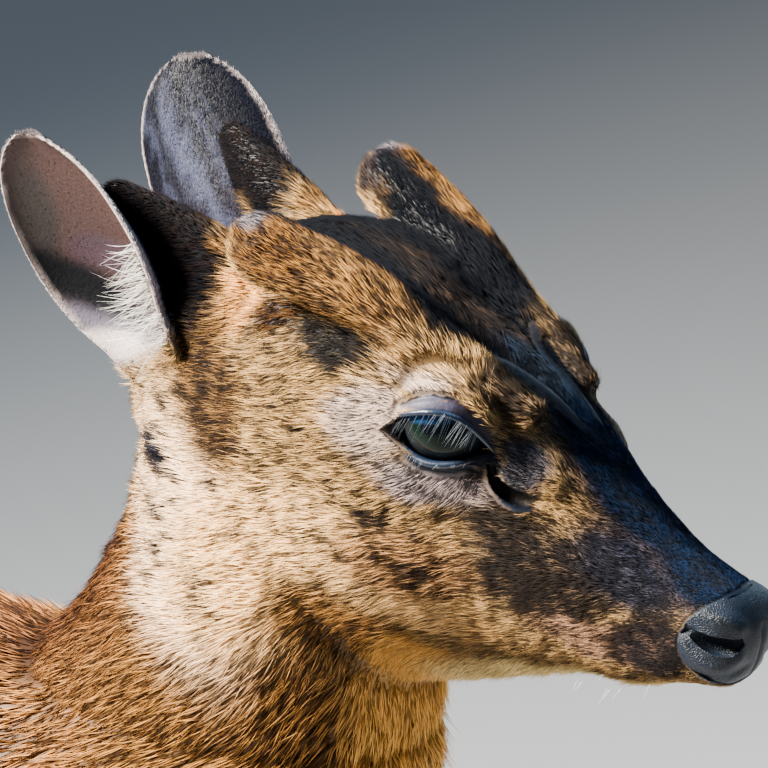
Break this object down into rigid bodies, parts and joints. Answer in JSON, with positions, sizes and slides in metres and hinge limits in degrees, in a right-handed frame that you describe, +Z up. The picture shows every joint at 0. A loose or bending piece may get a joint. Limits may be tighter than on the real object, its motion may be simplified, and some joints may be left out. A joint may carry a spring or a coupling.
{
  "type": "muntjac",
  "caption": "Small deer buck standing square with raised head, short furred antler stubs, cupped ears, open face glands and cloven hooves, as a still life-size model.",
  "frame": {"origin": "middle of the footprint box on the floor under the hooves", "axes": "+X towards the nose, +Y to the animal's left, +Z up"},
  "size_m": [0.6712, 0.1656, 0.6241],
  "materials": {
    "coat": "short dense hair, banded buff and dark, chestnut on the body",
    "leg_coat": "short flat dark brown hair",
    "ear_coat": "short dark hair outside, thin pale hair inside",
    "pedicle_coat": "short rust coloured hair",
    "nose_skin": "bare, moist, finely pebbled",
    "eye": "wet, very glossy",
    "hoof_horn": "dark horn with faint growth lines"
  },
  "bodies": {
    "root": {"dewclaw_front_left_inner": "hoof_horn", "dewclaw_front_left_outer": "hoof_horn", "dewclaw_front_right_inner": "hoof_horn", "dewclaw_front_right_outer": "hoof_horn", "dewclaw_hind_left_inner": "hoof_horn", "dewclaw_hind_left_outer": "hoof_horn", "dewclaw_hind_right_inner": "hoof_horn", "dewclaw_hind_right_outer": "hoof_horn", "ear_left": "ear_coat", "ear_right": "ear_coat", "eye_left": "eye", "eye_right": "eye", "front_leg_left": "leg_coat", "front_leg_right": "leg_coat", "head": "coat", "hind_leg_left": "leg_coat", "hind_leg_right": "leg_coat", "hoof_front_left_inner": "hoof_horn", "hoof_front_left_outer": "hoof_horn", "hoof_front_right_inner": "hoof_horn", "hoof_front_right_outer": "hoof_horn", "hoof_hind_left_inner": "hoof_horn", "hoof_hind_left_outer": "hoof_horn", "hoof_hind_right_inner": "hoof_horn", "hoof_hind_right_outer": "hoof_horn", "neck": "coat", "nose": "nose_skin", "pedicle_left": "pedicle_coat", "pedicle_right": "pedicle_coat", "tail": "coat", "torso": "coat"}
  },
  "joints": []
}
